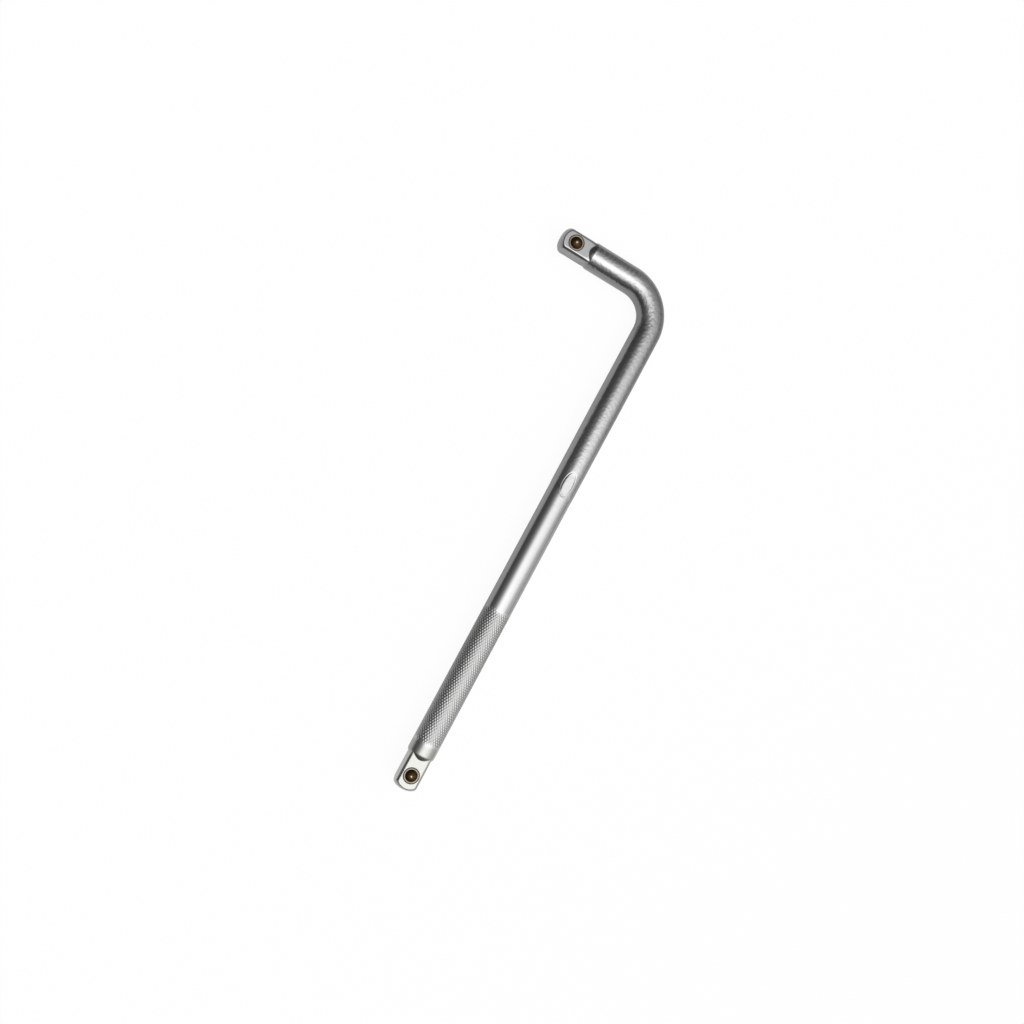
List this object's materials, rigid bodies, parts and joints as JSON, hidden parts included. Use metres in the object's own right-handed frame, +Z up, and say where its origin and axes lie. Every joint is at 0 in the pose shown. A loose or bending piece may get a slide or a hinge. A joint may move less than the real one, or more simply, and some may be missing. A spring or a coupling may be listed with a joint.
{
  "type": "l-handle socket wrench",
  "caption": "L-shaped socket handle: a bent round bar with a knurled grip and a square drive with a sprung detent ball at each end.",
  "frame": {"origin": "centre of the footprint's box, on the surface that the handle lies on", "axes": "+Z up, out of the flats that hold the balls; +X along the long arm to its drive; the short arm runs towards -Y"},
  "size_m": [0.3208, 0.0778, 0.0162],
  "materials": {
    "satin_chrome": "satin chrome plating over forged steel, ground smooth on the shank and grainier towards the bend",
    "ball_steel": "hardened steel ball, brown from heat and oil, polished",
    "spring_steel": "bare spring wire"
  },
  "bodies": {
    "handle": {"handle_bar": "satin_chrome", "long_arm_spring": "spring_steel", "short_arm_spring": "spring_steel"},
    "long_arm_ball": {"long_arm_ball": "ball_steel"},
    "short_arm_ball": {"short_arm_ball": "ball_steel"}
  },
  "joints": [
    {"name": "long_arm_ball_press", "type": "slide", "parent": "handle", "child": "long_arm_ball", "axis": [0, 0, -1], "range_m": [0, 0.0016], "stiffness_N_per_m": 1100, "springref_m": -0.003, "deforming": ["long_arm_spring"]},
    {"name": "short_arm_ball_press", "type": "slide", "parent": "handle", "child": "short_arm_ball", "axis": [0, 0, -1], "range_m": [0, 0.0016], "stiffness_N_per_m": 1100, "springref_m": -0.003, "deforming": ["short_arm_spring"]}
  ]
}
